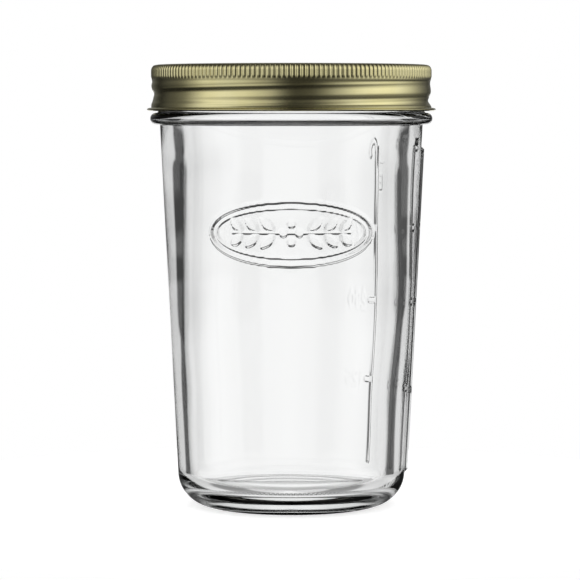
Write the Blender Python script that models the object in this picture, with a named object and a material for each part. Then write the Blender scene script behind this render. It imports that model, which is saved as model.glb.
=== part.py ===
"""A wide-mouth preserving jar with a two-piece screw lid, in metres, +Z up.

The glass stands on the origin. Its mouth is closed by a stamped disc with a seal
ring under it, and both are held down by a rolled screw band.
Each piece is one object. The band and the disc turn and lift on the jar's own axis.
"""

import math

import bmesh
import bpy

# The glass: heights from the table, radii from the axis
jar_height = 0.1480
finish_radius = 0.0454  # the plain wall that carries the screw thread
finish_height = 0.0177  # from the rim down to the foot of the transfer ring
shoulder_step = 0.00062  # how far the body stands inside the finish
foot_radius = 0.0384  # the tapered wall drawn down to the table
glass_wall = 0.00375
floor_height = 0.0076
heel_radius = 0.0113
rim_outer_round = 0.0013
rim_inner_round = 0.0010
transfer_ring_height = 0.0039
transfer_ring_reach = 0.00267
contact_ring_width = 0.0023
punt_radius = 0.0207
punt_depth = 0.0026
punt_crown = 0.0007
punt_slope_share = 0.7  # height of the slope's middle, of the punt's depth

# The screw thread, shared by the glass ridge and the bead rolled into the band
thread_pitch = 0.0055
ridge_height = 0.0015
ridge_clearance = 0.0005
ridge_crest_share = 0.26  # widths as shares of the pitch
ridge_foot_share = 0.50
ridge_place_share = 0.56  # how far the ridge runs above the bead
ridge_start_share = 0.50  # angles as shares of a turn from +X
ridge_length_share = 1.22
ridge_fade_share = 0.06

# The raised scale on the glass
scale_rib_width = 0.0013
scale_rib_height = 0.0011
scale_tick_length = 0.0038
scale_tick_width = 0.0020
scale_tick_height = 0.0006
scale_low_share = 0.082  # heights as shares of the jar's height
scale_high_share = 0.835
scale_tick_shares = (0.272, 0.463, 0.647, 0.822)  # 125, 250, 375 and 500 millilitres
scale_angle_shares = (0.0, 0.1125)  # angles as shares of a turn from +X

# The screw band: rolled sheet over the thread, knurled under its top corner
band_sheet = 0.00035
bead_depth = 0.00105
bulge_height = 0.0004
bead_above_share = 0.62  # reach of the bead above and below its line, of the pitch
bead_below_share = 0.42
bulge_half_share = 0.30
bead_rise = 0.0025  # from the band's lower edge to the start of the bead
bead_start_share = 0.745
bead_length_share = 1.31
bead_fade_in_share = 0.05
bead_fade_out_share = 0.28
band_corner_radius = 0.0018
band_lip_width = 0.0060  # the flat flange that holds the disc down
curl_height = 0.0011
curl_reach = 0.00145
band_ring_gap = 0.0006  # between the lower edge and the transfer ring
knurl_height = 0.00025
knurl_length = 0.0031
knurl_run_out = 0.0004  # from the knurls' feet to the plain wall
thread_guard = 0.0012  # the rolled thread dies away this far below the knurls and above the curl
knurl_count = 180

# The disc and its seal
disc_sheet = 0.00035
disc_play = 0.0008  # between the disc's edge and the band's wall
disc_edge_drop = 0.0009
disc_edge_round = 0.0006
disc_step_depth = 0.0009
disc_step_width = 0.0010
disc_button_radius = 0.0125
disc_button_height = 0.0005
disc_button_slope = 0.0025
gasket_thickness = 0.0009
gasket_inset = 0.0004
gasket_chamfer = 0.0002
seat_gap = 0.0003

# How finely the round shapes are drawn
columns_per_knurl_share = 1 / 3
small_columns = 48
bury = 0.0010  # how deep a joined shape reaches into the wall that carries it
merge_distance = 0.000003

# Heights and radii that follow from the sizes above
turned_columns = round(knurl_count * columns_per_knurl_share)
shoulder_height = jar_height - finish_height
ring_top = shoulder_height + transfer_ring_height
body_radius = finish_radius - shoulder_step
gasket_foot = jar_height + seat_gap
disc_foot = gasket_foot + gasket_thickness + seat_gap
disc_top = disc_foot + disc_sheet
band_under_lip = disc_top + seat_gap
band_top = band_under_lip + band_sheet
band_foot = ring_top + band_ring_gap
band_bore = finish_radius + ridge_height + ridge_clearance
band_wall = band_bore + band_sheet
disc_radius = band_bore - disc_play
band_corner_z = band_top - band_corner_radius
knurl_top = band_corner_z
knurl_foot = knurl_top - knurl_length
plain_foot = band_foot + curl_height
bead_start_height = band_foot + bead_rise
wall_slope = (body_radius - foot_radius) / shoulder_height


def clear_scene():
    for old in list(bpy.data.objects):
        bpy.data.objects.remove(old, do_unlink=True)


def paint(name, colour, roughness, metallic=0.0, transmission=0.0):
    """One plain material for one piece."""
    material = bpy.data.materials.new(name)
    material.use_nodes = True
    shader = material.node_tree.nodes["Principled BSDF"]
    shader.inputs["Base Color"].default_value = (*colour, 1.0)
    shader.inputs["Roughness"].default_value = roughness
    shader.inputs["Metallic"].default_value = metallic
    shader.inputs["Transmission Weight"].default_value = transmission
    material.diffuse_color = (*colour, 1.0)
    return material


def body_at(height):
    """Outer radius of the tapered body at a height."""
    return foot_radius + wall_slope * height


def bore_at(height):
    """Inner radius of the glass at a height."""
    return body_at(height) - glass_wall


def arc(centre, radius, start, end, count):
    """Points (radius, height) along an arc, angles in degrees from outwards to up."""
    angles = [math.radians(start + (end - start) * i / (count - 1)) for i in range(count)]
    return [(centre[0] + radius * math.cos(a), centre[1] + radius * math.sin(a)) for a in angles]


def smooth(share):
    """0 below 0, 1 above 1, and an even S between."""
    share = min(max(share, 0.0), 1.0)
    return share * share * (3 - 2 * share)


def hump(distance, reach):
    """1 at no distance, falling in a round hump to 0 at the reach."""
    if abs(distance) >= reach:
        return 0.0
    return math.cos(math.pi / 2 * distance / reach) ** 2


def object_from(bm, name, material=None):
    """Closes off a bmesh as an object, with its faces pointing out."""
    bmesh.ops.remove_doubles(bm, verts=bm.verts, dist=merge_distance)
    bmesh.ops.recalc_face_normals(bm, faces=bm.faces)
    mesh = bpy.data.meshes.new(name)
    bm.to_mesh(mesh)
    bm.free()
    made = bpy.data.objects.new(name, mesh)
    bpy.context.scene.collection.objects.link(made)
    if material:
        mesh.materials.append(material)
    return made


def round_shading(made, crease=35):
    """Smooth shading that keeps the turned edges crisp."""
    made.data.shade_smooth()
    made.data.set_sharp_from_angle(angle=math.radians(crease))


def hide(helper):
    """A shape that is only joined to another one."""
    helper.hide_render = True
    helper.display_type = "WIRE"
    return helper


def turned(name, profile, columns, material):
    """A solid of revolution. The profile runs from the axis, or round a closed ring."""
    bm = bmesh.new()
    points = [bm.verts.new((radius, 0.0, height)) for radius, height in profile]
    for first, second in zip(points, points[1:]):
        bm.edges.new((first, second))
    if profile[0][0] > 0:
        bm.edges.new((points[-1], points[0]))
    mesh = bpy.data.meshes.new(name)
    bm.to_mesh(mesh)
    bm.free()
    made = bpy.data.objects.new(name, mesh)
    bpy.context.scene.collection.objects.link(made)
    mesh.materials.append(material)
    screw = made.modifiers.new("turn", "SCREW")
    screw.steps = columns
    screw.render_steps = columns
    screw.use_merge_vertices = True
    screw.merge_threshold = merge_distance
    screw.use_smooth_shade = True
    return made


def join(made, helper):
    """Joins a hidden helper shape to a piece."""
    union = made.modifiers.new(helper.name, "BOOLEAN")
    union.operation = "UNION"
    union.object = helper
    union.solver = "EXACT"


def glass_profile():
    """The glass, from the floor's middle up the bore, over the rim and down to the punt."""
    lean = math.hypot(1, wall_slope)
    tilt = -math.degrees(math.atan(wall_slope))
    bore_round = heel_radius - glass_wall
    bore_corner_z = floor_height + bore_round
    bore_corner = (bore_at(bore_corner_z) - bore_round * lean, bore_corner_z)
    heel_centre = (body_at(heel_radius) - heel_radius * lean, heel_radius)
    rim_inside = bore_at(jar_height - rim_inner_round) + rim_inner_round
    ring_round = transfer_ring_height / 2
    ring_centre = (finish_radius + transfer_ring_reach - ring_round, shoulder_height + ring_round)
    rim_outside = finish_radius - rim_outer_round
    contact_inside = heel_centre[0] - contact_ring_width
    profile = [(0.0, floor_height)]
    profile += arc(bore_corner, bore_round, -90, tilt, 6)
    profile += arc((rim_inside, jar_height - rim_inner_round), rim_inner_round, 180, 90, 4)
    profile += arc((rim_outside, jar_height - rim_outer_round), rim_outer_round, 90, 0, 4)
    profile += [(finish_radius, ring_top)]
    profile += arc(ring_centre, ring_round, 90, -90, 8)
    profile += [(body_radius, shoulder_height)]
    profile += arc(heel_centre, heel_radius, tilt, -90, 8)
    profile += [(contact_inside, 0.0)]
    profile += [((contact_inside + punt_radius) / 2, punt_depth * punt_slope_share)]
    profile += [(punt_radius, punt_depth)]
    profile += [(0.0, punt_depth + punt_crown)]
    return profile


def thread_ridge():
    """The raised thread: a six-cornered section carried up a helix, sunk at both ends."""
    bm = bmesh.new()
    steps = round(turned_columns * ridge_length_share)
    foot = thread_pitch * ridge_foot_share / 2
    crest = thread_pitch * ridge_crest_share / 2
    sections = []
    for i in range(steps + 1):
        run = ridge_length_share * i / steps
        left = ridge_length_share - run
        grown = smooth(min(run, left) / ridge_fade_share)
        top = finish_radius + ridge_height * grown - seat_gap * (1 - grown)
        root = finish_radius - bury
        angle = math.tau * (ridge_start_share + run)
        height = ridge_height_at(ridge_start_share + run)
        corners = [(root, -foot), (finish_radius - seat_gap, -foot), (top, -crest)]
        corners += [(top, crest), (finish_radius - seat_gap, foot), (root, foot)]
        sections.append([
            bm.verts.new((r * math.cos(angle), r * math.sin(angle), height + z)) for r, z in corners
        ])
    for first, second in zip(sections, sections[1:]):
        for j, corner in enumerate(first):
            following = (j + 1) % len(first)
            bm.faces.new((corner, first[following], second[following], second[j]))
    bm.faces.new(sections[0])
    bm.faces.new(reversed(sections[-1]))
    return hide(object_from(bm, "glass_thread"))


def bead_height_at(turn_share):
    """Height of the band's bead line at a turn, counted on from its start."""
    return bead_start_height + thread_pitch * (turn_share - bead_start_share)


def ridge_height_at(turn_share):
    """Height of the glass ridge at a turn: the bead's line and a share of the pitch."""
    return bead_height_at(turn_share) + thread_pitch * ridge_place_share


def wall_block(name, angle, low, high, half_width, reach, side=0.0, taper=0.0):
    """A block on the tapered wall, sunk into it: its ends slope in by the taper."""
    bm = bmesh.new()
    corners = []
    for out, draw in ((-bury, 0.0), (reach, taper)):
        for height in (low + draw, high - draw):
            radius = body_at(height) + out
            for across in (side - half_width, side + half_width):
                x = radius * math.cos(angle) - across * math.sin(angle)
                y = radius * math.sin(angle) + across * math.cos(angle)
                corners.append(bm.verts.new((x, y, height)))
    for face in ((0, 1, 3, 2), (4, 6, 7, 5), (0, 4, 5, 1), (2, 3, 7, 6), (0, 2, 6, 4), (1, 5, 7, 3)):
        bm.faces.new([corners[i] for i in face])
    return hide(object_from(bm, name))


def scale_shapes():
    """Two raised upright lines with a tick at each measure."""
    for line, turn_share in enumerate(scale_angle_shares):
        angle = math.tau * turn_share
        low = jar_height * scale_low_share
        high = jar_height * scale_high_share
        yield wall_block(
            f"scale_line_{line}", angle, low, high, scale_rib_width / 2, scale_rib_height,
            taper=scale_rib_height,
        )
        for mark, height_share in enumerate(scale_tick_shares):
            middle = jar_height * height_share
            yield wall_block(
                f"scale_tick_{line}_{mark}", angle,
                middle - scale_tick_width / 2, middle + scale_tick_width / 2,
                scale_tick_length / 2, scale_tick_height, side=scale_tick_length / 2,
            )


def glass_jar():
    glass = paint("clear_glass", (0.86, 0.89, 0.88), 0.05, transmission=0.9)
    jar = turned("glass_jar", glass_profile(), turned_columns, glass)
    join(jar, thread_ridge())
    for shape in scale_shapes():
        join(jar, shape)
    return jar


def rolled_in(angle_share, height):
    """How far the band's wall is rolled inwards here: the bead, less the bulge beside it."""
    pushed = 0.0
    guard = smooth((knurl_foot - height) / thread_guard) * smooth((height - plain_foot) / thread_guard)
    for turn in range(int(bead_start_share + bead_length_share) + 1):
        place = angle_share + turn
        run = place - bead_start_share
        if not 0 <= run <= bead_length_share:
            continue
        grown = smooth(run / bead_fade_in_share) * smooth((bead_length_share - run) / bead_fade_out_share)
        above = height - bead_height_at(place)
        reach = thread_pitch * (bead_above_share if above > 0 else bead_below_share)
        pushed += grown * bead_depth * hump(above, reach)
        bulge = hump(height - ridge_height_at(place), thread_pitch * bulge_half_share)
        pushed -= grown * bulge_height * bulge
    return pushed * guard


def band_ring(bm, radius, height, columns=None, rolled=False, knurled=False):
    """One ring of the band's skin, rolled in by the thread or raised by the knurls."""
    columns = columns or turned_columns
    ring = []
    for i in range(columns):
        share = i / columns
        out = radius
        if rolled:
            out -= rolled_in(share, height)
        if knurled and i % 2 == 0:
            out += knurl_height
        angle = math.tau * share
        ring.append(bm.verts.new((out * math.cos(angle), out * math.sin(angle), height)))
    return ring


def strip(bm, low, high):
    """Faces between two rings, where one may have some whole number of times more points."""
    if len(low) == len(high):
        for i, corner in enumerate(low):
            j = (i + 1) % len(low)
            bm.faces.new((corner, low[j], high[j], high[i]))
        return
    few, many = (low, high) if len(low) < len(high) else (high, low)
    each = len(many) // len(few)
    for i, corner in enumerate(few):
        j = (i + 1) % len(few)
        fan = [many[(i * each + step) % len(many)] for step in range(each + 1)]
        half = each // 2
        for step in range(each):
            bm.faces.new((corner if step < half else few[j], fan[step], fan[step + 1]))
        bm.faces.new((corner, few[j], fan[half]))


def spaced(low, high, count):
    return [low + (high - low) * i / (count - 1) for i in range(count)]


def screw_band():
    """One skin round the sheet: up the outside, over the lip and down the inside."""
    gold = paint("lacquered_band", (0.62, 0.55, 0.30), 0.25, metallic=1.0)
    knurled_columns = knurl_count * 2
    corner = (band_wall - band_corner_radius, band_corner_z)
    lip_inside = band_bore - band_lip_width - band_corner_radius
    curl = arc((band_wall, band_foot + curl_height / 2), curl_height / 2, -90, 90, 5)
    thread_rows = spaced(plain_foot, knurl_foot - knurl_run_out, 13)
    bm = bmesh.new()
    rings = [band_ring(bm, band_bore, band_foot)]
    stretch = curl_reach / (curl_height / 2)
    rings += [band_ring(bm, band_wall + (r - band_wall) * stretch, z) for r, z in curl]
    rings += [band_ring(bm, band_wall, z, rolled=True) for z in thread_rows[1:]]
    rings += [
        band_ring(bm, band_wall, z, knurled_columns, knurled=True) for z in (knurl_foot, knurl_top)
    ]
    rings += [band_ring(bm, r, z) for r, z in arc(corner, band_corner_radius, 36, 90, 3)]
    rings += [band_ring(bm, lip_inside, z) for z in (band_top, band_under_lip)]
    inner_round = band_corner_radius - band_sheet
    rings += [band_ring(bm, r, z) for r, z in arc(corner, inner_round, 90, 0, 4)]
    rings += [band_ring(bm, band_bore, z, rolled=True) for z in reversed(thread_rows)]
    for low, high in zip(rings, rings[1:] + rings[:1]):
        strip(bm, low, high)
    band = object_from(bm, "screw_band", gold)
    round_shading(band)
    return band


def sealing_disc():
    """The stamped disc: a turned-down edge, a flat seat, a step, a panel and a button."""
    tinplate = paint("lacquered_disc", (0.66, 0.58, 0.32), 0.3, metallic=1.0)
    step_outside = bore_at(jar_height) - gasket_inset - disc_step_width
    step_inside = step_outside - disc_step_width
    slope_foot = disc_button_radius + disc_button_slope
    panel = disc_top - disc_step_depth
    button = panel + disc_button_height
    edge_centre = (disc_radius - disc_edge_round, disc_top - disc_edge_round)
    upper = [(0.0, button), (disc_button_radius, button)]
    upper += [(slope_foot, panel), (step_inside, panel), (step_outside, disc_top)]
    upper += arc(edge_centre, disc_edge_round, 90, 0, 4)
    upper += [(disc_radius, disc_foot - disc_edge_drop)]
    lower = [(disc_radius - disc_sheet, disc_foot - disc_edge_drop)]
    lower += arc(edge_centre, disc_edge_round - disc_sheet, 0, 90, 3)
    lower += [(r, z - disc_sheet) for r, z in reversed(upper[:5])]
    return turned("sealing_disc", upper + lower, small_columns, tinplate)


def seal_gasket():
    """The seal ring, which lies between the rim and the disc."""
    rubber = paint("seal_rubber", (0.78, 0.74, 0.66), 0.6)
    outside = finish_radius - gasket_inset / 2
    inside = bore_at(jar_height) + gasket_inset
    top = gasket_foot + gasket_thickness
    profile = [(inside, gasket_foot + gasket_chamfer), (inside, top - gasket_chamfer)]
    profile += [(inside + gasket_chamfer, top), (outside - gasket_chamfer, top)]
    profile += [(outside, top - gasket_chamfer), (outside, gasket_foot + gasket_chamfer)]
    profile += [(outside - gasket_chamfer, gasket_foot)]
    profile += [(inside + gasket_chamfer, gasket_foot)]
    return turned("seal_gasket", profile, small_columns, rubber)


def main():
    clear_scene()
    jar = glass_jar()
    disc = sealing_disc()
    gasket = seal_gasket()
    band = screw_band()
    disc.parent = jar
    gasket.parent = disc
    band.parent = disc


main()
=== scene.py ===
import math

import bpy
import numpy as np
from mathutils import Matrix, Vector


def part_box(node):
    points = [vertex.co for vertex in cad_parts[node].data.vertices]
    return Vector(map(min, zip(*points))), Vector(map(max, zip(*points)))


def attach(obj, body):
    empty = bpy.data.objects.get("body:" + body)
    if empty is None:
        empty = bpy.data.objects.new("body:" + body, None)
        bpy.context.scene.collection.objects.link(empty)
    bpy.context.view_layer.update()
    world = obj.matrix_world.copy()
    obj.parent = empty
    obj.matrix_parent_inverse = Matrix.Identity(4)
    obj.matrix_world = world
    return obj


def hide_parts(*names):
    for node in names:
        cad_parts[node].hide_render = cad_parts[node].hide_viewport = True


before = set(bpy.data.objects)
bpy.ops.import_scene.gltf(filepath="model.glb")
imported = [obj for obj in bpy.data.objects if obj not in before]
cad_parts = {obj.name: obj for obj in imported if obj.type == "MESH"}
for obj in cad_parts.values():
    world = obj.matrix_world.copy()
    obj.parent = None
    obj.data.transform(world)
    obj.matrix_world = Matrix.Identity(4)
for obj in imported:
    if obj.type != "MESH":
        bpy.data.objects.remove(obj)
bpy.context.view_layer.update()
scene = bpy.context.scene
print("frame loaded")

# Sizes are in metres and angles in degrees, unless a note says otherwise
fullTurn = 2 * math.pi
quarterTurn = 90.0
millimetre = 0.001
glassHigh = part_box("glass_jar")[1]
bandLow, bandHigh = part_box("screw_band")
discLow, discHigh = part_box("sealing_disc")
sealLow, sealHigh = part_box("seal_gasket")

# The thread that the glass and the band share. Turns are counted from +X, seen from above
thread = dict(
    pitch=0.0055,
    beadRise=0.00239,  # from the band's lower edge to the bead's start
    beadStart=0.745,  # turns
    beadTurns=1.354,
    ridgeAbove=0.56,  # how far the ridge runs above the bead, in pitches
)


# height of the bead's line: it starts at beadStart and climbs one pitch a turn
def beadLine(turns):
    return bandLow.z + thread["beadRise"] + thread["pitch"] * (turns - thread["beadStart"])


# 0 below 0, 1 above 1 and an even S between: s squared times (3 less 2 s)
def smoothStep(share):
    share = np.clip(share, 0.0, 1.0)
    return share * share * (3 - 2 * share)


# a smooth curve from evenly spaced depths in mm: each one counts where it stands by 2/3 and fades to nothing
# two places away, as a cubic
def softCurve(places, depths):
    total = np.zeros(places.shape)
    for index, depth in enumerate(depths):
        away = np.abs(places - index)
        near = 2 / 3 - away ** 2 + away ** 3 / 2
        total += depth * np.where(away < 1, near, np.clip(2 - away, 0, 1) ** 3 / 6)
    return total * millimetre


# 1 at no distance and 0 at the reach: the squared cosine of a quarter turn times distance over reach
def roundHump(distance, reach):
    return np.cos(np.clip(distance / reach, -1, 1) * math.pi / 2) ** 2


# points (radius, height) on an arc about a centre, from one angle to another, 0 outwards and 90 up
def arcPath(centre, radius, start, end, count):
    angles = np.radians(np.linspace(start, end, count))
    return np.column_stack([centre[0] + radius * np.cos(angles), centre[1] + radius * np.sin(angles)])


# points on a straight stretch, without its two ends
def linePath(start, end, count):
    shares = np.linspace(0, 1, count + 2)[1:-1, None]
    return np.array(start) * (1 - shares) + np.array(end) * shares


# places from low to high, close together inside each zone (start, end, step) and coarse elsewhere:
# one over the step is summed along the way, and the sum is read back at even steps
def spreadPlaces(low, high, coarse, zones=(), samples=40001):
    fine = np.linspace(low, high, samples)
    density = np.full(fine.shape, 1 / coarse)
    for start, end, step in zones:
        inside = (fine >= start) & (fine <= end)
        density[inside] = np.maximum(density[inside], 1 / step)
    total = np.concatenate([[0], np.cumsum((density[1:] + density[:-1]) / 2 * np.diff(fine))])
    return np.interp(np.linspace(0, total[-1], int(round(total[-1])) + 1), total, fine)


# a closed skin made of rings about the Z axis, each block of rings with its own columns. Its attribute
# "inside" is 1 on points added while inner is 1: the glass's stippled underside, and the metal's bare tin
# inside, painted dark as shade
class RingSkin:
    def __init__(self):
        self.points, self.quads, self.triangles, self.count = [], [], [], 0
        self.inside, self.inner = [], 0.0
        self.first = self.last = None

    # radii and heights are arrays (rows, columns): a point is (r cos a, r sin a, h) at its column's angle
    def addBlock(self, angles, radii, heights):
        rows, columns = radii.shape
        grid = np.stack([radii * np.cos(angles), radii * np.sin(angles), heights + 0 * radii], axis=-1)
        index = self.count + np.arange(rows * columns).reshape(rows, columns)
        right = np.roll(index, -1, axis=1)
        self.points.append(grid.reshape(-1, 3))
        self.inside.append(np.full(rows * columns, self.inner))
        self.count += rows * columns
        self.quads.append(np.stack([index[:-1], right[:-1], right[1:], index[1:]], axis=-1).reshape(-1, 4))
        if self.last is not None:
            self.stitch(self.last, (angles, index[0]))
        else:
            self.first = (angles, index[0])
        self.last = (angles, index[-1])

    # triangles between two rings of unlike columns: each edge closes on the corner of the other ring that
    # comes just before the edge's end, by angle
    def stitch(self, lower, upper):
        (lowAngles, low), (highAngles, high) = lower, upper
        lowNext = np.append(lowAngles[1:], fullTurn)
        highNext = np.append(highAngles[1:], fullTurn)
        facing = np.searchsorted(highNext, lowNext, side="left") % len(high)
        self.triangles.append(np.stack([low, np.roll(low, -1), high[facing]], axis=-1))
        facing = np.searchsorted(lowNext, highNext, side="right") % len(low)
        self.triangles.append(np.stack([low[facing], np.roll(high, -1), high], axis=-1))

    # closes an end with a fan to a point on the axis, which at the start counts as inside
    def addPole(self, height, atStart=False):
        ring = (self.first if atStart else self.last)[1]
        pole = np.full(len(ring), self.count)
        self.points.append(np.array([[0.0, 0.0, height]]))
        self.inside.append(np.full(1, 1.0 if atStart else 0.0))
        self.count += 1
        around = np.roll(ring, -1)
        self.triangles.append(np.stack([pole, around, ring] if atStart else [ring, around, pole], axis=-1))

    # joins the last ring to the first one, for a sheet that closes on itself
    def closeLoop(self):
        self.stitch(self.last, self.first)

    # the piece itself, smooth shaded, with its body, its material slot and the node that it replaces
    def build(self, name, body, replaced, material):
        points = np.concatenate(self.points)
        quads, triangles = np.concatenate(self.quads), np.concatenate(self.triangles)
        mesh = bpy.data.meshes.new(name)
        mesh.vertices.add(len(points))
        mesh.vertices.foreach_set("co", points.astype(np.float32).ravel())
        corners = np.concatenate([quads.ravel(), triangles.ravel()]).astype(np.int32)
        mesh.loops.add(len(corners))
        mesh.loops.foreach_set("vertex_index", corners)
        starts = np.concatenate([np.arange(len(quads)) * 4, quads.size + np.arange(len(triangles)) * 3])
        mesh.polygons.add(len(starts))
        mesh.polygons.foreach_set("loop_start", starts.astype(np.int32))
        mesh.update(calc_edges=True)
        mesh.shade_smooth()
        sheltered = mesh.attributes.new("inside", "FLOAT", "POINT")
        sheltered.data.foreach_set("value", np.concatenate(self.inside).astype(np.float32))
        mesh.materials.append(material)
        piece = bpy.data.objects.new(name, mesh)
        scene.collection.objects.link(piece)
        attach(piece, body)
        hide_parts(replaced)
        print(name, len(quads) * 2 + len(triangles), "triangles")


# even angles round the axis
def evenAngles(columns):
    return np.arange(columns) * fullTurn / columns


# a profile's radii and heights as rows, the same at every column
def profileRows(path, angles):
    path = np.asarray(path)
    return np.repeat(path[:, :1], len(angles), axis=1), np.repeat(path[:, 1:], len(angles), axis=1)


# a profile's points as a block of plain rings
def plainBlock(skin, angles, path):
    skin.addBlock(angles, *profileRows(path, angles))


# Materials

# a new material with its shader's own values set, and the node tree to add to
def newMaterial(name, **values):
    material = bpy.data.materials.new(name)
    material.use_nodes = True
    shader = material.node_tree.nodes["Principled BSDF"]
    for socket, value in values.items():
        shader.inputs[socket].default_value = value
    return material, material.node_tree, shader


# adds a node, sets its properties and its sockets' values, and links what is given as a socket
def addNode(tree, kind, links=None, **settings):
    node = tree.nodes.new(kind)
    for name, value in settings.items():
        setattr(node, name, value)
    for socket, value in (links or {}).items():
        if isinstance(value, bpy.types.NodeSocket):
            tree.links.new(value, node.inputs[socket])
        else:
            node.inputs[socket].default_value = value
    return node


# one Math node's result, from sockets or plain numbers
def calc(tree, operation, *values):
    return addNode(tree, "ShaderNodeMath", dict(enumerate(values)), operation=operation).outputs[0]


# two values multiplied
def times(tree, first, second):
    return calc(tree, "MULTIPLY", first, second)


# one value where the share is 0 and another where it is 1
def blend(tree, share, plain, other):
    return addNode(tree, "ShaderNodeMix", {0: share, 2: plain, 3: other}).outputs[0]


# clouds over the piece itself: a noise of this size in metres, and this many finer layers
def cloudNoise(tree, size, detail):
    place = addNode(tree, "ShaderNodeTexCoord").outputs["Object"]
    noise = addNode(tree, "ShaderNodeTexNoise", {"Vector": place, "Scale": 1 / size, "Detail": detail})
    return noise.outputs["Fac"]


# tilts a shader's surface as if it had these heights, times a distance in metres
def addBump(tree, shader, height, distance):
    bump = addNode(tree, "ShaderNodeBump", {"Height": height, "Distance": distance, "Strength": 1.0})
    tree.links.new(bump.outputs["Normal"], shader.inputs["Normal"])


# a colour read from a number, between two (place, colour) stops
def colourRamp(tree, value, *stops):
    ramp = addNode(tree, "ShaderNodeValToRGB", {"Fac": value})
    for point, (place, colour) in zip(ramp.color_ramp.elements, stops):
        point.position, point.color = place, colour
    return ramp.outputs["Color"]


clearGlass = dict(
    tint=(0.998, 1.0, 0.999, 1.0),
    index=1.5,
    absorbedColour=(0.60, 0.66, 0.64, 1.0),
    absorption=3.0,  # a metre
    frost=0.35,  # how rough the stippled underside is
    waveSize=0.022,
    waveHeight=0.00004,
)


# clear glass that takes a little colour with depth, slightly wavy all over and rough where it is stippled
def glassMaterial():
    look = clearGlass
    material, tree, shader = newMaterial(
        "clear_glass",
        **{"Base Color": look["tint"], "IOR": look["index"], "Transmission Weight": 1.0},
    )
    stippled = addNode(tree, "ShaderNodeAttribute", attribute_name="inside").outputs["Fac"]
    tree.links.new(times(tree, stippled, look["frost"]), shader.inputs["Roughness"])
    addBump(tree, shader, cloudNoise(tree, look["waveSize"], 1.0), look["waveHeight"])
    depth = addNode(
        tree, "ShaderNodeVolumeAbsorption",
        {"Color": look["absorbedColour"], "Density": look["absorption"]},
    )
    tree.links.new(depth.outputs["Volume"], tree.nodes["Material Output"].inputs["Volume"])
    return material


goldLacquer = dict(
    colour=(0.86, 0.80, 0.45, 1.0),
    deepColour=(0.80, 0.73, 0.37, 1.0),
    roughness=0.19,
    gloss=0.5,  # of the clear coat
    glossRoughness=0.12,
    shadedTin=(0.16, 0.16, 0.155, 1.0),  # the bare side, inside, painted dark as shade
    tinRoughness=0.55,
    cloudSize=0.012,
    grainSize=0.0004,
    grainDepth=0.000004,
)


# stoved gold lacquer on tinplate: clouded colour with a fine grain in its gloss, and on the inside dull tin
# painted dark as painted shade
def lacquerMaterial(name):
    look = goldLacquer
    material, tree, shader = newMaterial(
        name,
        **{
            "Metallic": 1.0, "Roughness": look["roughness"], "Coat Weight": look["gloss"],
            "Coat Roughness": look["glossRoughness"],
        },
    )
    clouds = cloudNoise(tree, look["cloudSize"], 3.0)
    lacquer = colourRamp(tree, clouds, (0.3, look["deepColour"]), (0.7, look["colour"]))
    inside = addNode(tree, "ShaderNodeAttribute", attribute_name="inside").outputs["Fac"]
    # painted shade: where the attribute says inside, the dark tin colour takes the lacquer's place
    mixed = addNode(tree, "ShaderNodeMixRGB", {0: inside, 1: lacquer, 2: look["shadedTin"]})
    tree.links.new(mixed.outputs[0], shader.inputs["Base Color"])
    dulled = blend(tree, inside, look["roughness"], look["tinRoughness"])
    tree.links.new(dulled, shader.inputs["Roughness"])
    addBump(tree, shader, cloudNoise(tree, look["grainSize"], 2.0), look["grainDepth"])
    return material


# The glass

glass = dict(
    finishRadius=0.0454,  # the wall that carries the thread
    finishHeight=0.0177,
    shoulderStep=0.00062,
    shoulderFillet=0.0003,
    footRadius=0.0384,
    wall=0.00375,
    floorHeight=0.0076,
    heelRadius=0.0113,
    rimOuterRound=0.0013,
    rimInnerRound=0.0010,
    ringHeight=0.0039,  # the transfer ring under the band
    ringReach=0.00267,
    ringFillet=0.0006,  # between the ring and the finish
    contactWidth=0.0023,  # of the ring it stands on
    puntRadius=0.0207,
    puntDepth=0.0026,
    puntCrown=0.0007,  # how much higher the middle of the base is
    crownEnd=(0.0010, 0.0001),  # in from the punt's radius, and over its depth
    slopeTopShare=0.95,  # of the punt's depth, where the stippled slope starts
    slopeEnd=(0.0006, 0.0003),  # in from the ring it stands on, and up from the table
    slopeFoot=(0.0004, 0.00015),
    cornerInside=0.0050,  # round between bore and floor
    ridgeHeight=0.0015,
    ridgeStart=0.50,  # turns
    ridgeTurns=1.22,
    ridgeFoot=0.25,  # half widths in pitches
    ridgeCrest=0.10,
    ridgeFade=0.06,  # turns over which its ends rise
    gripCount=112,  # bars moulded into the ring it stands on
    gripReach=0.0028,  # how far out past the ring's middle
    gripDepth=0.0007,
    gripLap=0.0001,  # in from the ring's inner edge, where their rows start
    heelGap=0.0003,  # from the bars to the heel's first row
    unevenness=0.00007,  # of the bore
    # its waves: height as a share, waves a turn, start and slant in radians, and radians a metre
    boreWaves=((1.0, 2, 0.6, 18), (0.8, 3, -1.1, -41), (0.6, 5, 2.0, 75)),
    boreCalm=0.02,  # the waves fade out over this far, as far below the rim
    # the bore is almost straight, so its wall is thicker than the plain one by the first table, and the bore
    # stands left of the axis by the second: in mm, a step apart from one step under the table up
    boreStep=0.012,
    boreExtra=(1.6, 1.6, 1.6, 1.7, 1.8, 1.3, 1.2, 1.5, 2.1, 3.1, 3.6, 3.9, 2.9, 1.3, 0.0),
    boreAside=(0.6, 0.6, 0.6, 0.6, 0.6, 0.5, 0.4, 0.3, 0.3, 0.3, 0.2, 0.0, 0.0, 0.0, 0.0),
)
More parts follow.
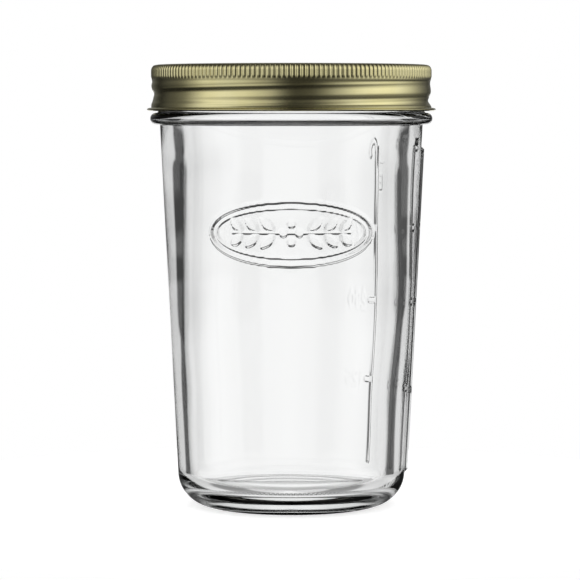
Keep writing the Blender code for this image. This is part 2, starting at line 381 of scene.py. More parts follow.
scale = dict(
    ribWidth=0.0013,
    ribHeight=0.0010,
    ribSoftness=0.00042,
    softness=0.0003,
    low=0.0121,
    high=0.1215,
    rearAngle=36.5,  # the numbered scale, seen through the glass
    sideAngle=0.0,  # a plain one at the right
    marks=(0.0394, 0.0698, 0.0957),
    words=("125", "250", "375"),
    tickLength=0.0036,
    tickWidth=0.0020,
    tickHeight=0.0006,
    hookWide=0.0022,  # the top mark curls over: half its width, and its height
    hookHigh=0.0030,
    hookDrop=0.0008,
    hookTip=0.00044,  # how far its end leans back in
    hookStroke=0.00143,
    digitHeight=0.0046,
    digitWidth=0.0024,
    digitPitch=0.0033,
    digitGap=0.0022,  # from a tick's end to its number
    strokeWidth=0.00065,
    numberRise=0.00014,
    unitLow=0.1083,
    unitGap=0.0021,  # from the rib's middle
    unitHeight=0.0027,
    unitWidth=0.0042,
    unitPitch=0.0058,
    unitRise=0.00032,
)
emblem = dict(
    angle=270.0,
    middle=0.0950,
    halfWidth=0.0285,
    halfHeight=0.0105,
    frameWidth=0.0013,
    thinLine=0.0008,
    lineInset=0.0023,
    lineShare=0.7,  # of the full height, for the thin line and the stem
    height=0.00055,
    softness=0.00028,
    stemLength=0.0200,
    leafPlaces=(0.0048, 0.0103, 0.0158),
    leafLength=0.0070,
    leafWidth=0.0029,
    leafShrink=14.0,  # share of its length lost for each metre out
    leafLean=42.0,
    leafGap=0.0009,
    berries=((0.0, 0.0030), (0.0026, 0.0)),
    berryRadius=0.0013,
)
# how close together the outside's columns and rows stand, and how far the close ones reach
glassGrid = dict(
    column=0.0021,
    scaleColumn=0.00034,
    emblemColumn=0.00042,
    tickReach=0.0055,  # beyond the side rib
    ribReach=0.0016,  # before it
    unitReach=0.0072,  # before the rear rib
    emblemReach=0.0275,
    boreColumns=168,  # all round the inside
    row=0.0024,
    markRow=0.00036,
    endRow=0.0004,
    emblemRow=0.00042,
    topRow=0.0003,
    margin=0.0010,
    markMargin=0.0003,
    unitMargin=0.0006,
    reliefReach=0.032,  # no relief is further along the wall from its middle
    heelMargin=0.002,
    touch=0.000001,  # radii this near count as the same
)


shoulderZ = glassHigh.z - glass["finishHeight"]
wallSlope = (glass["finishRadius"] - glass["shoulderStep"] - glass["footRadius"]) / shoulderZ


# the tapered wall's radius: the foot's, and the slope times the height
def bodyAt(height):
    return glass["footRadius"] + wallSlope * height


# distance from points (across, up) to the nearest of some straight strokes: each point is dropped on each
# stroke's line, the foot is kept between the stroke's ends, and the shortest way wins
def strokeDistance(across, up, strokes):
    nearest = np.full(across.shape, 1.0)
    for startX, startY, endX, endY in strokes:
        runX, runY = endX - startX, endY - startY
        foot = ((across - startX) * runX + (up - startY) * runY) / (runX ** 2 + runY ** 2)
        foot = np.clip(foot, 0, 1)
        nearest = np.minimum(nearest, np.hypot(across - startX - foot * runX, up - startY - foot * runY))
    return nearest


# strokes along an arc in a unit box, as short straight pieces
def arcStrokes(centreX, centreY, radiusX, radiusY, start, end, count=10):
    angles = np.radians(np.linspace(start, end, count + 1))
    x, y = centreX + radiusX * np.cos(angles), centreY + radiusY * np.sin(angles)
    return list(zip(x[:-1], y[:-1], x[1:], y[1:]))


# plain figures in a box one wide and one high
figures = {
    "0": arcStrokes(0.5, 0.5, 0.5, 0.5, 0, 360, 20),
    "1": [(0.5, 0.0, 0.5, 1.0), (0.5, 1.0, 0.2, 0.8)],
    "2": arcStrokes(0.5, 0.70, 0.45, 0.30, 160, -30) + [(0.89, 0.55, 0.05, 0.0), (0.05, 0.0, 0.95, 0.0)],
    "3": arcStrokes(0.45, 0.75, 0.42, 0.25, 150, -90) + arcStrokes(0.45, 0.27, 0.47, 0.27, 90, -150),
    "5": [(0.88, 1.0, 0.15, 1.0), (0.15, 1.0, 0.1, 0.55)] + arcStrokes(0.45, 0.32, 0.48, 0.32, 130, -150),
    "7": [(0.05, 1.0, 0.95, 1.0), (0.95, 1.0, 0.35, 0.0)],
    "m": [(0.0, 0.0, 0.0, 1.0), (0.5, 0.0, 0.5, 0.75), (1.0, 0.0, 1.0, 0.75)]
    + arcStrokes(0.25, 0.75, 0.25, 0.25, 180, 0, 6) + arcStrokes(0.75, 0.75, 0.25, 0.25, 180, 0, 6),
    "l": [(0.5, 0.0, 0.5, 1.6)],
}


# height of raised strokes: full inside the stroke, and a soft S down at its sides
def raised(distance, halfWidth, height, softness):
    return height * smoothStep((halfWidth + softness / 2 - distance) / softness)


# a word's strokes: each figure's box is scaled and set beside the last one
def wordStrokes(word, left, foot, width, height, pitch):
    strokes = []
    for place, figure in enumerate(word):
        start = left + place * pitch
        strokes += [
            (start + a * width, foot + b * height, start + c * width, foot + d * height)
            for a, b, c, d in figures[figure]
        ]
    return strokes


# the raised scale's height at places on the wall, across from the rib and up from the table: the rib, its
# ticks and, on the numbered line, the curled top mark, the numbers and the unit, the highest one winning
def scaleRelief(across, up, numbered):
    look = scale
    half, soft = look["ribWidth"] / 2, look["softness"]
    top = look["high"] - look["hookHigh"] if numbered else look["high"]
    rib = strokeDistance(across, up, [(0.0, look["low"], 0.0, top)])
    out = raised(rib, half, look["ribHeight"], look["ribSoftness"])
    marks = look["marks"] if numbered else look["marks"] + (look["high"],)
    ticks = strokeDistance(across, up, [(0.0, mark, look["tickLength"], mark) for mark in marks])
    out = np.maximum(out, raised(ticks, look["tickWidth"] / 2, look["tickHeight"], soft))
    if not numbered:
        return out
    tip = look["hookWide"] * 2
    hook = arcStrokes(look["hookWide"], top, look["hookWide"], look["hookHigh"], 180, 0)
    hook.append((tip, top, tip - look["hookTip"], top - look["hookDrop"]))
    curled = strokeDistance(across, up, hook)
    out = np.maximum(out, raised(curled, look["hookStroke"] / 2, look["tickHeight"], soft))
    for word, mark in zip(look["words"], look["marks"]):
        strokes = wordStrokes(
            word, look["tickLength"] + look["digitGap"], mark - look["digitHeight"] / 2,
            look["digitWidth"], look["digitHeight"], look["digitPitch"],
        )
        lines = strokeDistance(across, up, strokes)
        out = np.maximum(out, raised(lines, look["strokeWidth"] / 2, look["numberRise"], soft))
    # the unit stands on its side, beyond the rib
    unit = wordStrokes("ml", 0.0, 0.0, look["unitWidth"], look["unitHeight"], look["unitPitch"])
    turned = strokeDistance(up - look["unitLow"], -across - look["unitGap"], unit)
    return np.maximum(out, raised(turned, look["strokeWidth"] / 2, look["unitRise"], soft))


# the emblem's height: an oval frame with a thin line inside it, and in the middle a sprig of paired leaves
# with three berries. An oval's distance is its equation's value over twice the length of its gradient
def emblemRelief(across, up):
    look = emblem
    x, y = across, up - look["middle"]
    soft, thin = look["softness"], look["thinLine"] / 2
    out = np.zeros(x.shape)
    lowLine = look["height"] * look["lineShare"]
    ovals = ((0.0, look["frameWidth"] / 2, look["height"]), (look["lineInset"], thin, lowLine))
    for inset, half, rise in ovals:
        wide, high = look["halfWidth"] - inset, look["halfHeight"] - inset
        value = (x / wide) ** 2 + (y / high) ** 2 - 1
        away = np.abs(value / (2 * np.hypot(x / wide ** 2, y / high ** 2) + 1e-9))
        out = np.maximum(out, raised(away, half, rise, soft))
    stem = np.abs(y) + np.maximum(np.abs(x) - look["stemLength"], 0)
    out = np.maximum(out, raised(stem, thin, lowLine, soft))
    x, y = np.abs(x), np.abs(y)  # the sprig is the same to the left and right, above and below
    lean = math.radians(look["leafLean"])
    leafWide = look["leafWidth"] / 2
    for place in look["leafPlaces"]:
        half = look["leafLength"] * (1 - place * look["leafShrink"]) / 2
        along = (x - place) * math.cos(lean) + y * math.sin(lean) - half - look["leafGap"]
        aside = -(x - place) * math.sin(lean) + y * math.cos(lean)
        # a leaf is where two equal circles overlap
        offset = (half ** 2 - leafWide ** 2) / (2 * leafWide)
        circles = np.maximum(np.hypot(along, aside + offset), np.hypot(along, aside - offset))
        out = np.maximum(out, raised(circles - offset, leafWide, look["height"], soft))
    for berryX, berryY in look["berries"]:
        berry = np.hypot(x - berryX, y - berryY)
        out = np.maximum(out, raised(berry, look["berryRadius"], look["height"], soft))
    return out


# the glass thread's height: a ridge that climbs one pitch a turn, with sloped sides and faded ends
def ridgeRelief(angles, heights):
    pitch, fade = thread["pitch"], glass["ridgeFade"]
    out = np.zeros(np.broadcast(angles, heights).shape)
    for turn in range(3):
        place = angles / fullTurn + turn
        run = place - glass["ridgeStart"]
        ends = smoothStep(run / fade) * smoothStep((glass["ridgeTurns"] - run) / fade)
        line = beadLine(place) + thread["ridgeAbove"] * pitch
        away = np.abs(heights - line) / pitch
        side = smoothStep((glass["ridgeFoot"] - away) / (glass["ridgeFoot"] - glass["ridgeCrest"]))
        out = np.maximum(out, ends * side * glass["ridgeHeight"])
    return out


# signed way along the wall from an angle, at the body's radius there
def acrossFrom(angles, middle, radii):
    turned = (angles - math.radians(middle) + math.pi) % fullTurn - math.pi
    return turned * radii


# how far the bore stands out from a plain wall: slow waves round and up it, each a sine of its waves a turn
# and its slant up, less what the wall is thicker, less the shift aside times the cosine of the angle
def boreForm(angles, heights):
    g = glass
    waves = 0.0
    for share, count, start, slant in g["boreWaves"]:
        waves = waves + share * np.sin(count * angles + start + slant * heights)
    calm = smoothStep((glassHigh.z - g["boreCalm"] - heights) / g["boreCalm"])
    places = heights / g["boreStep"] + 1
    aside = softCurve(places, g["boreAside"]) * np.cos(angles)
    return g["unevenness"] * waves * calm - softCurve(places, g["boreExtra"]) - aside


# radii of the ring that the jar stands on: its middle, where the heel's arc starts, and its inner edge
def standingRing():
    middle = bodyAt(glass["heelRadius"]) - glass["heelRadius"] * math.hypot(1, wallSlope)
    return middle, middle - glass["contactWidth"]


# underside, from the middle of the base out: the crown, the stippled slope, and the ring it stands on, where
# each moulded bar is a raised cosine round the ring times a hump across it
def addUnderside(skin):
    g = glass
    middle, inner = standingRing()
    columns = evenAngles(g["gripCount"])
    crownFoot = (g["puntRadius"] - g["crownEnd"][0], g["puntDepth"] + g["crownEnd"][1])
    plainBlock(skin, columns, linePath((0.0, g["puntDepth"] + g["puntCrown"]), crownFoot, 6))
    skin.inner = 1.0
    slopeTop = (g["puntRadius"], g["puntDepth"] * g["slopeTopShare"])
    slopeEnd, slopeFoot = [(inner - inward, up) for inward, up in (g["slopeEnd"], g["slopeFoot"])]
    plainBlock(skin, columns, np.concatenate([linePath(slopeTop, slopeEnd, 7), [slopeFoot]]))

    barAngles = evenAngles(g["gripCount"] * 6)
    outer = middle + g["gripReach"]
    reach = np.linspace(inner - g["gripLap"], outer, 11)[:, None]
    rise = g["heelRadius"] - np.sqrt(g["heelRadius"] ** 2 - np.maximum(reach - middle, 0) ** 2)
    across = (reach - inner) / (outer - inner)
    bars = g["gripDepth"] * (0.5 - 0.5 * np.cos(barAngles * g["gripCount"])) * roundHump(across - 0.5, 0.5)
    skin.addBlock(barAngles, reach + 0 * bars, rise + bars)
    skin.inner = 0.0


# columns round the outside, close together where the scales and the emblem stand
def outsideAngles():
    grid = glassGrid
    radius = bodyAt(glass["heelRadius"])
    rear, front = math.radians(scale["rearAngle"]), math.radians(emblem["angle"])
    numberEnd = scale["tickLength"] + scale["digitGap"] + 3 * scale["digitPitch"]
    beside, close = grid["emblemReach"] / radius, grid["scaleColumn"] / radius
    return spreadPlaces(0.0, fullTurn, grid["column"] / radius, [
        (0.0, grid["tickReach"] / radius, close),
        (fullTurn - grid["ribReach"] / radius, fullTurn, close),
        (rear - grid["unitReach"] / radius, rear + numberEnd / radius, close),
        (front - beside, front + beside, grid["emblemColumn"] / radius),
    ])[:-1]


# rows up the wall, close together at the marks, the scale's ends, the emblem and the shoulder
def wallRows(low, high):
    grid = glassGrid
    margin, digit = grid["margin"], scale["digitHeight"] / 2 + grid["markMargin"]
    zones = [(mark - digit, mark + digit, grid["markRow"]) for mark in scale["marks"]]
    zones.append((scale["low"] - margin, scale["low"] + margin, grid["endRow"]))
    zones.append((scale["unitLow"] - grid["unitMargin"], scale["high"] + margin, grid["emblemRow"]))
    emblemHalf = emblem["halfHeight"] + margin
    zones.append((emblem["middle"] - emblemHalf, emblem["middle"] + emblemHalf, grid["emblemRow"]))
    zones.append((high - margin, high, grid["topRow"]))
    return spreadPlaces(low, high, grid["row"], zones)[1:]


# outside: heel, tapered wall, transfer ring, finish and the rim's outer half, with the scales and the emblem
# raised on the wall, the highest one winning, and the thread on the finish
def addOutside(skin):
    g = glass
    ringTop, wallTop = shoulderZ + g["ringHeight"], shoulderZ - g["shoulderFillet"]
    startAngle = -90 + math.degrees(math.asin((g["gripReach"] + g["heelGap"]) / g["heelRadius"]))
    tilt = -math.degrees(math.atan(wallSlope))
    heel = arcPath((standingRing()[0], g["heelRadius"]), g["heelRadius"], startAngle, tilt, 18)
    wallLow = heel[-1, 1]
    wallZ = wallRows(wallLow, wallTop)
    wallPath = np.column_stack([bodyAt(wallZ), wallZ])
    fillet = arcPath((bodyAt(shoulderZ) + g["shoulderFillet"], wallTop), g["shoulderFillet"], 180, 90, 5)[1:]
    ringRound = g["ringHeight"] / 2
    ringCentre = (g["finishRadius"] + g["ringReach"] - ringRound, shoulderZ + ringRound)
    ring = arcPath(ringCentre, ringRound, -90, 90, 20)
    finishFoot = ringTop + g["ringFillet"]
    upper = arcPath((g["finishRadius"] + g["ringFillet"], finishFoot), g["ringFillet"], 270, 180, 5)
    rimFoot = glassHigh.z - g["rimOuterRound"]
    finishZ = np.linspace(finishFoot, rimFoot, 32)[1:-1]
    finish = np.column_stack([np.full(finishZ.shape, g["finishRadius"]), finishZ])
    rim = arcPath((g["finishRadius"] - g["rimOuterRound"], rimFoot), g["rimOuterRound"], 0, 90, 8)
    path = np.concatenate([heel, wallPath, fillet, ring, upper, finish, rim])

    angles = outsideAngles()
    radii, heights = profileRows(path, angles)
    wallRadius = bodyAt(heights)
    onWall = (heights > wallLow - glassGrid["heelMargin"]) & (heights < wallTop)
    relief = np.zeros(radii.shape)
    for middle, reliefOf in (
        (scale["rearAngle"], lambda across, up: scaleRelief(across, up, True)),
        (scale["sideAngle"], lambda across, up: scaleRelief(across, up, False)),
        (emblem["angle"], emblemRelief),
    ):
        away = acrossFrom(angles, middle, wallRadius)
        near = onWall & (np.abs(away) < glassGrid["reliefReach"])
        relief[near] = np.maximum(relief[near], reliefOf(away[near], heights[near]))
    onFinish = (heights > ringTop) & (path[:, :1] >= g["finishRadius"] - glassGrid["touch"])
    relief += np.where(onFinish, ridgeRelief(angles, heights), 0)
    skin.addBlock(angles, radii + relief, heights)


# inside: the rim's inner half, the uneven bore, the corner and the floor, where the bore's form is scaled
# down to nothing at the middle
def addInside(skin):
    g = glass
    cornerRound = g["cornerInside"]
    cornerZ = g["floorHeight"] + cornerRound
    cornerMiddle = (bodyAt(cornerZ) - g["wall"] - cornerRound * math.hypot(1, wallSlope), cornerZ)
    rimBottom = glassHigh.z - g["rimInnerRound"]
    rimMiddle = (bodyAt(rimBottom) - g["wall"] + g["rimInnerRound"], rimBottom)
    rim = arcPath(rimMiddle, g["rimInnerRound"], 90, 180, 7)
    boreZ = np.linspace(rimBottom, cornerZ, 64)[1:-1]
    bore = np.column_stack([bodyAt(boreZ) - g["wall"], boreZ])
    corner = arcPath(cornerMiddle, cornerRound, -math.degrees(math.atan(wallSlope)), -90, 16)
    floor = linePath((cornerMiddle[0], g["floorHeight"]), (0.0, g["floorHeight"]), 10)
    path = np.concatenate([rim, bore, corner, floor])

    angles = evenAngles(glassGrid["boreColumns"])
    radii, heights = profileRows(path, angles)
    share = np.clip(radii / cornerMiddle[0], 0, 1)
    skin.addBlock(angles, radii + boreForm(angles, heights) * share, heights)


# the glass, all one skin: underside, outside and inside, closed at both ends on the axis
def glassJar(material):
    skin = RingSkin()
    addUnderside(skin)
    addOutside(skin)
    addInside(skin)
    skin.addPole(glass["floorHeight"])
    skin.addPole(glass["puntDepth"] + glass["puntCrown"], atStart=True)
    skin.build("jar_glass", "jar", "glass_jar", material)


# The screw band

band = dict(
    sheet=0.00035,
    bore=0.0474,
    cornerRadius=0.0021,
    cornerInside=0.0017,
    lipWidth=0.0078,
    lipStart=84,  # degrees up the corner where the plain lip starts
    # how deep the wall is rolled in, by the height over the bead's line in pitches: a smooth curve through
    # evenly spaced places, each taken with its two neighbours
    beadFrom=-0.425,
    beadStep=0.0875,
    beadForm=(0.12, 0.25, 0.48, 0.69, 0.72, 0.56, 0.34, 0.34, 0.16, 0.06, 0.03, 0.06, 0.14, 0.12, 0.05),
    # and by the height over the band's lower edge, in metres, the same all round
    wallFrom=0.0024,
    wallStep=0.0011,
    wallForm=(0.0, 0.60, 0.57, 0.37, 0.05, -0.12, 0.10, 0.30, 0.19, 0.13, 0.07),
    beadEarly=0.198,  # turns before its start where the bead begins to show, and how slowly it grows
    beadGrowth=0.247,
    beadFade=0.192,
    guard=0.0010,  # over this much the rolled form ends at the curl and at the knurls
    neckInset=0.0002,  # the knurled part stands in by this much from the wall's own radius
    curlHeight=0.0011,
    curlReach=0.00145,
    curlFoot=0.0001,  # out from the bore, where the lower edge starts
    curlGap=0.0002,  # from the curl to the wall's first row
    knurlCount=180,
    knurlDepth=0.00030,
    knurlLength=0.0028,
    knurlGrowth=0.0009,  # lengths over which they rise at the foot and fade at the top
    knurlFade=0.0012,
    knurlEnd=78,  # degrees up the corner where they end
    knurlNarrow=3.0,  # higher for narrower grooves
    knurlBase=0.25,  # share of the depth that goes in from the neck's own radius
    knurlGap=0.0004,  # from the wall's last row to the knurls
    columns=360,
    lipColumns=180,
)


# how far the wall is rolled in: the bead's form along its line, times how far it has grown from its ends,
# and the form that is the same all round, with nothing near the knurls and the curl
def rolledIn(angles, heights):
    b, pitch = band, thread["pitch"]
    knurlFoot = bandHigh.z - b["cornerRadius"] - b["knurlLength"]
    plainFoot = bandLow.z + b["curlHeight"]
    angles, heights = np.broadcast_arrays(angles, heights)
    pushed = softCurve((heights - bandLow.z - b["wallFrom"]) / b["wallStep"], b["wallForm"])
    for turn in range(3):
        place = angles / fullTurn + turn
        run = place - thread["beadStart"]
        grown = smoothStep((run + b["beadEarly"]) / b["beadGrowth"])
        grown = grown * smoothStep((thread["beadTurns"] - run) / b["beadFade"])
        above = (heights - beadLine(place)) / pitch
        pushed += grown * softCurve((above - b["beadFrom"]) / b["beadStep"], b["beadForm"])
    below = smoothStep((knurlFoot - heights) / b["guard"])
    pushed = pushed * below + b["neckInset"] * (1 - below)
    return pushed * smoothStep((heights - plainFoot) / b["guard"])


# the band, all one closed sheet: curled lower edge, rolled wall, knurls, lip, and back down inside. Between
# the knurls a cosine hump to a power makes narrow grooves, times how far they have grown from both ends, and
# all of it stands square to the sheet, straight up the neck and over the corner
def screwBand(material):
    b = band
    wall = b["bore"] + b["sheet"]
    neck = wall - b["neckInset"]
    cornerZ = bandHigh.z - b["cornerRadius"]
    corner = (neck - b["cornerRadius"], cornerZ)
    knurlFoot = cornerZ - b["knurlLength"]
    wallTop = knurlFoot - b["knurlGap"]
    curlTop = bandLow.z + b["curlHeight"]
    underLip = bandHigh.z - b["sheet"]
    inner = (b["bore"] - b["neckInset"] - b["cornerInside"], underLip - b["cornerInside"])
    lipInside = b["bore"] - b["lipWidth"]
    wide, lipAngles = evenAngles(b["columns"]), evenAngles(b["lipColumns"])
    skin = RingSkin()

    curlRound = b["curlHeight"] / 2
    curl = arcPath((0.0, bandLow.z + curlRound), curlRound, -90, 90, 11)
    curl[:, 0] = wall + curl[:, 0] * b["curlReach"] / curlRound
    plainBlock(skin, wide, np.concatenate([[(b["bore"] + b["curlFoot"], bandLow.z)], curl]))
    wallZ = np.linspace(curlTop + b["curlGap"], wallTop, 44)[:, None]
    skin.addBlock(wide, wall - rolledIn(wide, wallZ), wallZ)

    fine = evenAngles(b["knurlCount"] * 8)
    straight = np.column_stack([np.full(9, neck), np.linspace(knurlFoot, cornerZ, 9)])
    over = arcPath(corner, b["cornerRadius"], 0, b["knurlEnd"], 10)[1:]
    path = np.concatenate([straight, over])
    run = np.concatenate([[0], np.cumsum(np.hypot(*np.diff(path, axis=0).T))])[:, None]
    grown = smoothStep(run / b["knurlGrowth"]) * smoothStep((run[-1] - run) / b["knurlFade"])
    flute = 1 - (0.5 + 0.5 * np.cos(fine * b["knurlCount"])) ** b["knurlNarrow"]
    out = b["knurlDepth"] * grown * (flute - b["knurlBase"])
    slope = np.clip((path[:, 1:] - cornerZ) / b["cornerRadius"], 0, 1)
    outward = np.sqrt(1 - slope ** 2)
    skin.addBlock(fine, path[:, :1] + out * outward, path[:, 1:] + out * slope)

    plainBlock(skin, lipAngles, np.concatenate([
        arcPath(corner, b["cornerRadius"], b["lipStart"], 90, 2),
        linePath((corner[0], bandHigh.z), (lipInside, bandHigh.z), 6),
        arcPath((lipInside, underLip + b["sheet"] / 2), b["sheet"] / 2, 90, 270, 7),
    ]))
    # from here on the band's inside: bare tin painted dark as shade
    skin.inner = 1.0
    plainBlock(skin, lipAngles, np.concatenate([
        linePath((lipInside, underLip), (inner[0], underLip), 5),
        arcPath(inner, b["cornerInside"], 90, 0, 9),
    ]))
    innerZ = np.linspace(wallTop, curlTop, 44)[:, None]
    skin.addBlock(wide, b["bore"] - rolledIn(wide, innerZ), innerZ)
    skin.closeLoop()
    skin.build("band_sheet", "band", "screw_band", material)


# The disc and its seal

disc = dict(
    sheet=0.00035,
    edgeRound=0.0006,
    stepDepth=0.0009,
    stepWidth=0.0010,
    stepOutside=0.04054,
    buttonRadius=0.0125,
    buttonHeight=0.0005,
    buttonSlope=0.0025,
    row=0.0016,  # how far apart its rings are, on the flat, the small rise and the step
    buttonRow=0.0003,
    stepRow=0.00012,
    columns=240,
)
seal = dict(
    inside=0.04234,
    edgeRound=0.0002,
    columns=192,
    dark=(0.60, 0.55, 0.45, 1.0),
    pale=(0.76, 0.72, 0.62, 1.0),
    roughness=0.6,
    cloudSize=1 / 900,
)


# the disc's upper face as radius and height: flat stretches joined by S-shaped steps
def discTop(radii):
    d = disc
    step = smoothStep((radii - d["stepOutside"] + d["stepWidth"]) / d["stepWidth"])
    button = smoothStep((d["buttonRadius"] + d["buttonSlope"] - radii) / d["buttonSlope"])
    return discHigh.z - d["stepDepth"] * (1 - step) + d["buttonHeight"] * button


# the disc, a closed sheet: its underside out from the axis and down the turned edge, then back over the top
def sealingDisc(material):
    d = disc
    edge = discHigh.x
    flat = edge - d["edgeRound"]
    radii = spreadPlaces(0.0, flat, d["row"], [
        (d["buttonRadius"], d["buttonRadius"] + d["buttonSlope"], d["buttonRow"]),
        (d["stepOutside"] - d["stepWidth"], d["stepOutside"], d["stepRow"]),
    ])[1:-1]
    upper = np.column_stack([radii, discTop(radii)])
    centre = (flat, discHigh.z - d["edgeRound"])
    angles = evenAngles(d["columns"])
    skin = RingSkin()
    # the underside: bare tin painted dark as shade
    skin.inner = 1.0
    hem = arcPath(centre, d["edgeRound"] - d["sheet"], 90, 0, 4)
    under = [upper - [0, d["sheet"]], hem, [(edge - d["sheet"], discLow.z)]]
    plainBlock(skin, angles, np.concatenate(under))
    skin.inner = 0.0
    over = [[(edge, discLow.z)], arcPath(centre, d["edgeRound"], 0, 90, 7), upper[::-1]]
    plainBlock(skin, angles, np.concatenate(over))
    middle = float(discTop(np.zeros(1))[0])
    skin.addPole(middle)
    skin.addPole(middle - d["sheet"], atStart=True)
    skin.build("lid_disc", "lid", "sealing_disc", material)


# mottled seal compound: fine clouds between a dark and a pale colour
def sealMaterial():
    material, tree, shader = newMaterial("seal_compound", **{"Roughness": seal["roughness"]})
    clouds = cloudNoise(tree, seal["cloudSize"], 3.0)
    mottled = colourRamp(tree, clouds, (0.0, seal["dark"]), (1.0, seal["pale"]))
    tree.links.new(mottled, shader.inputs["Base Color"])
    return material


# a flat ring of seal compound, with a quarter circle at each corner of its section
def sealRing(material):
    edge = seal["edgeRound"]
    inside, outside = seal["inside"] + edge, sealHigh.x - edge
    low, high = sealLow.z + edge, sealHigh.z - edge
    path = np.concatenate([
        arcPath((inside, low), edge, 180, 270, 4),
        arcPath((outside, low), edge, 270, 360, 4),
        arcPath((outside, high), edge, 0, 90, 4),
        arcPath((inside, high), edge, 90, 180, 4),
    ])
    skin = RingSkin()
    plainBlock(skin, evenAngles(seal["columns"]), path)
    skin.closeLoop()
    skin.build("seal_ring", "lid", "seal_gasket", material)


glassJar(glassMaterial())
screwBand(lacquerMaterial("band_gold"))
sealingDisc(lacquerMaterial("disc_gold"))
sealRing(sealMaterial())
print("pieces made")

# Stage, light and camera

stage = dict(
    floorRadius=0.16,
    floorCorners=96,
    floorColour=(0.88, 0.88, 0.88, 1.0),
    floorRoughness=0.8,
    floorGlow=0.60,
    cameraDistance=0.9556,
    cameraHeight=0.13648,
    cameraPitch=3.765,
    cameraAside=-0.00045,
    lens=173.5,  # in mm, like the sensor
    sensor=36.0,
    seenFrom=0.05,
    seenTo=20.0,
    plainLight=0.85,  # on dull surfaces, the same from everywhere
)
# what the glass shows behind it: a white window on each of the four sides, and a dark card at each corner
# between them. Azimuths are from the middle of a window
backCards = dict(
    # azimuths of the windows' edges, where the cards begin, as (elevation, azimuth)
    leftInner=((-12, 33), (-7, 37), (-4.5, 37), (-3, 33), (-1, 31)),
    rightInner=((-12, 33), (-7, 36), (-4.5, 35), (-3, 32), (-1, 31)),
    soft=6.0,
    darkness=0.92,
    reach=(-15.0, 34.0),  # elevations of the cards' lower and upper ends
    reachSoft=3.0,
    frontLow=-5.0,  # the lower end on the camera's side
    farFrom=0.1,  # the far side starts here, as the direction's own y, and this softly
    farSoft=0.1,
    # how bright the windows are, as (azimuth, brightness), and off the middle as (elevation, brightness)
    windowAside=((0, 1.0), (7, 1.0), (9, 0.97), (12, 0.93), (20, 0.86), (28, 0.80), (45, 0.72)),
    windowUp=((-12, 1.0), (-5, 0.98), (-3, 0.93), (-1, 0.90), (3, 1.0)),
    middleHalf=7.0,
    middleSoft=5.0,
    sidesShare=0.93,  # how bright it all is at the sides
    sidesFade=0.07,  # and by how much more behind, and less in front
    # level cards under and over: from, to, darkness and softness
    levelCards=((-66, -44, 0.60, 6.0), (8.5, 14, 0.95, 2.0)),
)
# what the metal shows round it: azimuth from the camera's side, to the right, and brightness
roomRound = (
    (-180, 0.25), (-140, 0.01), (-124, 0.06), (-112, 0.09), (-100, 0.15), (-88, 0.45), (-76, 0.82),
    (-64, 0.85), (-52, 0.80), (-40, 0.77), (-28, 0.59), (-18, 0.44), (-8, 0.13), (1, 0.02), (10, 0.05),
    (18, 0.06), (27, 0.18), (36, 0.36), (45, 0.54), (55, 0.80), (65, 0.92), (75, 1.0), (85, 1.02),
    (95, 0.96), (105, 0.81), (115, 0.62), (125, 0.39), (137, 0.18), (155, 0.05), (180, 0.25),
)
# and by elevation, as a factor
roomUp = (
    (-90, 0.15), (-65, 0.14), (-50, 0.11), (-40, 0.05), (-30, 0.12), (-22, 0.19), (-14, 0.39), (-6, 0.70),
    (2, 0.80), (12, 1.08), (25, 1.08), (40, 0.80), (55, 0.25), (68, 0.15), (80, 0.07), (90, 0.10),
)
# a bright strip right behind, which the glass's edges catch: half its width, its elevations, brightness
roomBehind = dict(width=13, low=-16.0, high=-3.0, soft=2.0, level=0.9)


# a round sheet of paper. Seen directly, mirrored or through the glass it glows a little as well
def makeFloor():
    angles = evenAngles(stage["floorCorners"])
    radius = stage["floorRadius"]
    corners = [(radius * math.cos(a), radius * math.sin(a), 0.0) for a in angles]
    mesh = bpy.data.meshes.new("studio_floor")
    mesh.from_pydata(corners, [], [list(range(len(corners)))])
    floor = bpy.data.objects.new("studio_floor", mesh)
    scene.collection.objects.link(floor)
    look = {"Roughness": stage["floorRoughness"], "Base Color": stage["floorColour"]}
    material, tree, shader = newMaterial("floor_paper", **look)
    rays = addNode(tree, "ShaderNodeLightPath").outputs
    seen = calc(tree, "MAXIMUM", rays["Is Camera Ray"], rays["Is Glossy Ray"])
    seen = calc(tree, "MAXIMUM", seen, rays["Is Transmission Ray"])
    glow = addNode(tree, "ShaderNodeEmission", {"Strength": stage["floorGlow"]}).outputs[0]
    both = addNode(tree, "ShaderNodeAddShader", {0: shader.outputs[0], 1: glow}).outputs[0]
    mixed = addNode(tree, "ShaderNodeMixShader", {0: seen, 1: shader.outputs[0], 2: both})
    tree.links.new(mixed.outputs[0], tree.nodes["Material Output"].inputs["Surface"])
    mesh.materials.append(material)
    floor.visible_transmission = floor.visible_glossy = False


# an even S from 0 to 1 about a place, as wide as it is soft
def riseAt(tree, value, place, soft):
    ends = {"Value": calc(tree, "SUBTRACT", value, place), "From Min": -soft / 2, "From Max": soft / 2}
    return addNode(tree, "ShaderNodeMapRange", ends, interpolation_type="SMOOTHSTEP").outputs[0]


# 1 between two places and 0 outside them, with soft edges: the rise at one less the rise at the other
def stripe(tree, value, start, end, soft):
    return calc(tree, "SUBTRACT", riseAt(tree, value, start, soft), riseAt(tree, value, end, soft))


# a value read from a list of (place, value) with straight ramps between them: the ramp holds each value as
# a share of the highest one
def valueAlong(tree, place, stops):
    low, high = stops[0][0], stops[-1][0]
    highest = max(value for at, value in stops)
    share = addNode(tree, "ShaderNodeMapRange", {"Value": place, "From Min": low, "From Max": high})
    ramp = addNode(tree, "ShaderNodeValToRGB", {"Fac": share.outputs[0]})
    points = ramp.color_ramp.elements
    while len(points) < len(stops):
        points.new(0.5)
    for point, (at, value) in zip(points, stops):
        point.position = (at - low) / (high - low)
        point.color = [value / highest] * 3 + [1.0]
    return times(tree, ramp.outputs["Color"], highest)


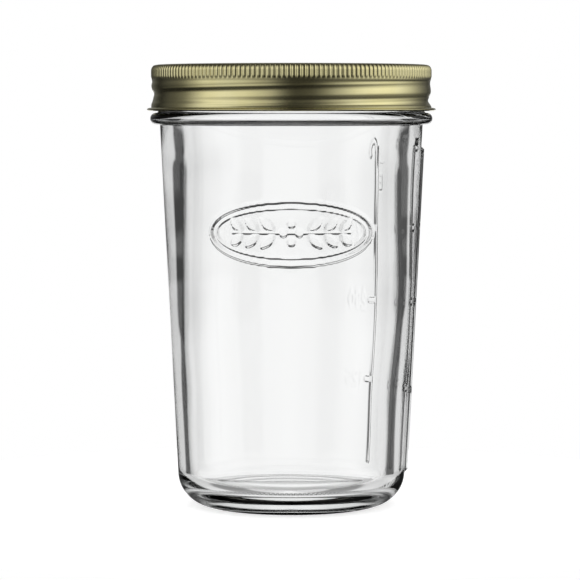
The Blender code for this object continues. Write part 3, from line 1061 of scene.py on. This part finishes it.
# brightness behind the glass: the windows' times what the cards let through. Azimuths are folded to the
# nearest side, by taking off whole quarter turns
def lightBehind(tree, azimuth, elevation, y):
    cards = backCards
    turned = times(tree, calc(tree, "ROUND", calc(tree, "DIVIDE", azimuth, quarterTurn)), quarterTurn)
    folded = calc(tree, "SUBTRACT", azimuth, turned)
    aside = calc(tree, "ABSOLUTE", folded)
    toLeft = times(tree, folded, -1.0)
    left = riseAt(tree, toLeft, valueAlong(tree, elevation, cards["leftInner"]), cards["soft"])
    right = riseAt(tree, folded, valueAlong(tree, elevation, cards["rightInner"]), cards["soft"])
    dark = times(tree, calc(tree, "MAXIMUM", left, right), cards["darkness"])
    cardLow, cardHigh = cards["reach"]
    cardLow = blend(tree, riseAt(tree, y, cards["farFrom"], cards["farSoft"]), cards["frontLow"], cardLow)
    dark = times(tree, dark, stripe(tree, elevation, cardLow, cardHigh, cards["reachSoft"]))
    for low, high, share, soft in cards["levelCards"]:
        card = times(tree, stripe(tree, elevation, low, high, soft), share)
        dark = calc(tree, "MAXIMUM", dark, card)
    offMiddle = riseAt(tree, aside, cards["middleHalf"], cards["middleSoft"])
    shade = blend(tree, offMiddle, 1.0, valueAlong(tree, elevation, cards["windowUp"]))
    lit = times(tree, valueAlong(tree, aside, cards["windowAside"]), shade)
    lit = times(tree, lit, calc(tree, "MULTIPLY_ADD", y, cards["sidesFade"], cards["sidesShare"]))
    return times(tree, lit, calc(tree, "SUBTRACT", 1.0, dark))


# brightness round the metal: the room's round it times the room's up it, or the strip behind if brighter
def lightRound(tree, x, y, azimuth, elevation):
    fromCamera = calc(tree, "DEGREES", calc(tree, "ARCTAN2", x, times(tree, y, -1.0)))
    room = times(tree, valueAlong(tree, fromCamera, roomRound), valueAlong(tree, elevation, roomUp))
    strip = roomBehind
    upright = stripe(tree, elevation, strip["low"], strip["high"], strip["soft"])
    across = stripe(tree, azimuth, -strip["width"], strip["width"], strip["soft"])
    lit = times(tree, times(tree, upright, across), strip["level"])
    return calc(tree, "MAXIMUM", room, lit)


# the studio round it all: the camera sees plain white, and the metal, the glass and dull surfaces each get
# their own light. Azimuth is 0 straight behind the jar, to the right, and elevation is 0 level
def makeWorld():
    world = bpy.data.worlds.new("studio")
    scene.world = world
    world.use_nodes = True
    tree = world.node_tree
    tree.nodes.clear()
    direction = addNode(tree, "ShaderNodeTexCoord").outputs["Generated"]
    x, y, z = addNode(tree, "ShaderNodeSeparateXYZ", {0: direction}).outputs
    azimuth = calc(tree, "DEGREES", calc(tree, "ARCTAN2", x, y))
    elevation = calc(tree, "DEGREES", calc(tree, "ARCSINE", z))
    rays = addNode(tree, "ShaderNodeLightPath").outputs
    around = lightRound(tree, x, y, azimuth, elevation)
    level = blend(tree, rays["Is Glossy Ray"], stage["plainLight"], around)
    level = blend(tree, rays["Is Transmission Ray"], level, lightBehind(tree, azimuth, elevation, y))
    level = blend(tree, rays["Is Camera Ray"], level, 1.0)
    light = addNode(tree, "ShaderNodeBackground", {"Color": (1.0, 1.0, 1.0, 1.0), "Strength": level})
    output = addNode(tree, "ShaderNodeOutputWorld")
    tree.links.new(light.outputs[0], output.inputs["Surface"])


# the photograph's own view: a long lens, level with the band and tilted down a little
def makeCamera():
    data = bpy.data.cameras.new("camera")
    camera = bpy.data.objects.new("camera", data)
    scene.collection.objects.link(camera)
    data.lens = stage["lens"]
    data.sensor_width = stage["sensor"]
    data.clip_start, data.clip_end = stage["seenFrom"], stage["seenTo"]
    camera.location = (stage["cameraAside"], -stage["cameraDistance"], stage["cameraHeight"])
    camera.rotation_euler = (math.radians(90 - stage["cameraPitch"]), 0.0, 0.0)
    scene.camera = camera


makeFloor()
makeWorld()
makeCamera()
scene.view_settings.view_transform = "Standard"
print("stage set")
